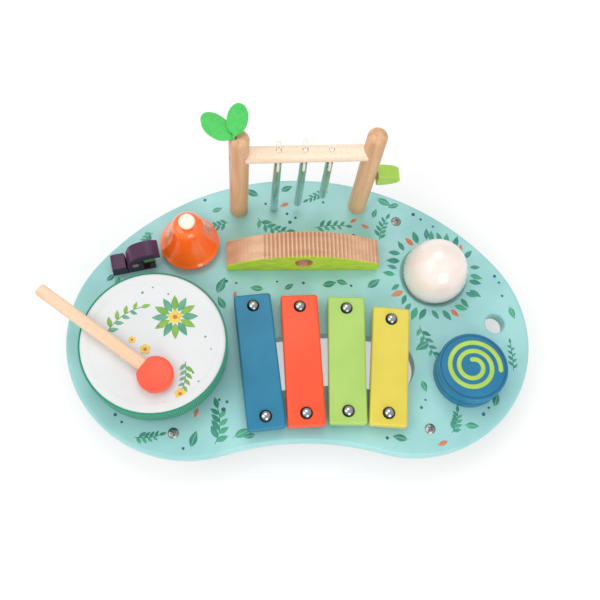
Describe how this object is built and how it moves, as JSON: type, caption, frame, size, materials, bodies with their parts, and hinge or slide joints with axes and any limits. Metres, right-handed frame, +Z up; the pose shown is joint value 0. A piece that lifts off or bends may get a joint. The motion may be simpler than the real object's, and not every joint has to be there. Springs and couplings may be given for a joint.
{
  "type": "musical activity table",
  "caption": "Bean-shaped wooden music table on short feet with a drum, tone bars, guiro, hanging chimes, push bell, clacker, castanet, twirl knob, egg shaker and mallet.",
  "frame": {"origin": "centre of the bounding box in plan, on the floor under the foot pads", "axes": "+Z up; +X to the right along the long side of the board, seen by the child who sits at -Y; +Y towards the chime frame at the back"},
  "size_m": [0.3955, 0.2459, 0.1756],
  "materials": {
    "board_lacquer": "turquoise satin lacquer over plywood",
    "beech": "clear matt lacquer",
    "felt_grey": "pressed wool felt",
    "zinc_screw": "zinc plated",
    "chrome_screw": "polished plating",
    "paint_blue": "blue satin lacquer",
    "paint_coral": "coral satin lacquer",
    "paint_green": "green satin lacquer",
    "paint_yellow": "yellow satin lacquer",
    "drum_skin_sheet": "white printed drum sheet",
    "drum_teal": "dark teal lacquer",
    "band_green": "ribbed elastic webbing",
    "cord_white": "braided cotton cord",
    "chime_metal": "bright drawn tube",
    "felt_green": "green wool felt",
    "bell_orange": "orange gloss enamel",
    "button_cream": "moulded",
    "bell_steel": "bright steel",
    "paint_purple": "purple satin lacquer",
    "paint_lime": "lime satin lacquer",
    "disc_blue": "blue satin lacquer with a lime spiral",
    "elastic_black": "round elastic",
    "egg_paint": "coral and white lacquer",
    "bead_steel": "steel beads"
  },
  "bodies": {
    "table": {"tabletop": "board_lacquer", "foot_front_left": "beech", "foot_pad_front_left": "felt_grey", "foot_front_right": "beech", "foot_pad_front_right": "felt_grey", "foot_back_left": "beech", "foot_pad_back_left": "felt_grey", "foot_back_right": "beech", "foot_pad_back_right": "felt_grey", "foot_screws": "zinc_screw", "underside_screws": "zinc_screw", "bar_blue": "paint_blue", "bar_coral": "paint_coral", "bar_green": "paint_green", "bar_yellow": "paint_yellow", "bar_screws": "chrome_screw", "bar_washers": "felt_grey", "drum_shell": "drum_teal", "drum_skin": "drum_skin_sheet", "drum_band": "band_green", "guiro_block": "paint_lime", "post_left": "beech", "post_right": "beech", "chime_rail": "beech", "chime_rail_screws": "zinc_screw", "chime_cord_loops": "cord_white", "leaf_left": "felt_green", "leaf_right": "felt_green", "leaf_pin": "zinc_screw", "bell_base": "button_cream", "bell_base_screws": "zinc_screw", "bell_dome": "bell_orange", "bell_bush": "bell_steel", "bell_spring": "bell_steel", "bell_pivot_pin": "bell_steel", "clacker_base": "paint_purple", "clacker_pin": "beech", "castanet_lower": "disc_blue", "castanet_elastic": "elastic_black", "twirl_pin": "zinc_screw"},
    "bell_press_body": {"bell_button": "button_cream"},
    "bell_rocker_body": {"bell_striker": "bell_steel"},
    "clacker_jaw_body": {"clacker_jaw": "paint_purple", "clacker_knocker": "paint_lime"},
    "castanet_lid_body": {"castanet_upper": "disc_blue"},
    "twirl_body": {"twirl_knob": "paint_lime"},
    "chime_1_body": {"chime_1": "chime_metal", "chime_cord_1": "cord_white"},
    "chime_2_body": {"chime_2": "chime_metal", "chime_cord_2": "cord_white"},
    "chime_3_body": {"chime_3": "chime_metal", "chime_cord_3": "cord_white"},
    "egg_body": {"egg_upper": "egg_paint", "egg_lower": "egg_paint", "egg_beads": "bead_steel"},
    "mallet_body": {"mallet_head": "paint_coral", "mallet_handle": "beech"}
  },
  "joints": [
    {"name": "bell_press", "type": "slide", "parent": "table", "child": "bell_press_body", "axis": [0, 0, -1], "range_m": [0, 0.002], "stiffness_N_per_m": 500, "springref_m": -0.002, "deforming": ["bell_spring"]},
    {"name": "bell_rocker", "type": "hinge", "parent": "table", "child": "bell_rocker_body", "pos_m": [-0.07494, 0.06294, 0.0442], "axis": [0, -1, 0], "range_deg": [0, 21]},
    {"name": "clacker_open", "type": "hinge", "parent": "table", "child": "clacker_jaw_body", "pos_m": [-0.12626, 0.04777, 0.044], "axis": [0.1736, -0.9848, 0], "range_deg": [0, 25]},
    {"name": "castanet_hinge", "type": "hinge", "parent": "table", "child": "castanet_lid_body", "pos_m": [0.12185, -0.03945, 0.0423], "axis": [-0.7071, -0.7071, 0], "range_deg": [-4, 8], "stiffness_Nm_per_rad": 0.4, "springref_deg": 0.57},
    {"name": "twirl_spin", "type": "hinge", "parent": "table", "child": "twirl_body", "pos_m": [0.07066, 0.09534, 0.089], "axis": [1, 0, 0], "continuous": true},
    {"name": "chime_1_swing", "type": "hinge", "parent": "table", "child": "chime_1_body", "pos_m": [-0.00924, 0.09534, 0.1187], "axis": [1, 0, 0], "range_deg": [-18, 45]},
    {"name": "chime_2_swing", "type": "hinge", "parent": "table", "child": "chime_2_body", "pos_m": [0.01076, 0.09534, 0.1187], "axis": [1, 0, 0], "range_deg": [-18, 45]},
    {"name": "chime_3_swing", "type": "hinge", "parent": "table", "child": "chime_3_body", "pos_m": [0.03076, 0.09534, 0.1187], "axis": [1, 0, 0], "range_deg": [-18, 45]},
    {"name": "egg_lift", "type": "slide", "parent": "table", "child": "egg_body", "axis": [0, 0, 1], "range_m": [0, 0.09]},
    {"name": "mallet_lift", "type": "slide", "parent": "table", "child": "mallet_body", "axis": [0, 0, 1], "range_m": [0, 0.08]}
  ],
  "couplings": [
    {"joint": "bell_rocker", "follows": "bell_press", "rad_per_m": 182}
  ]
}
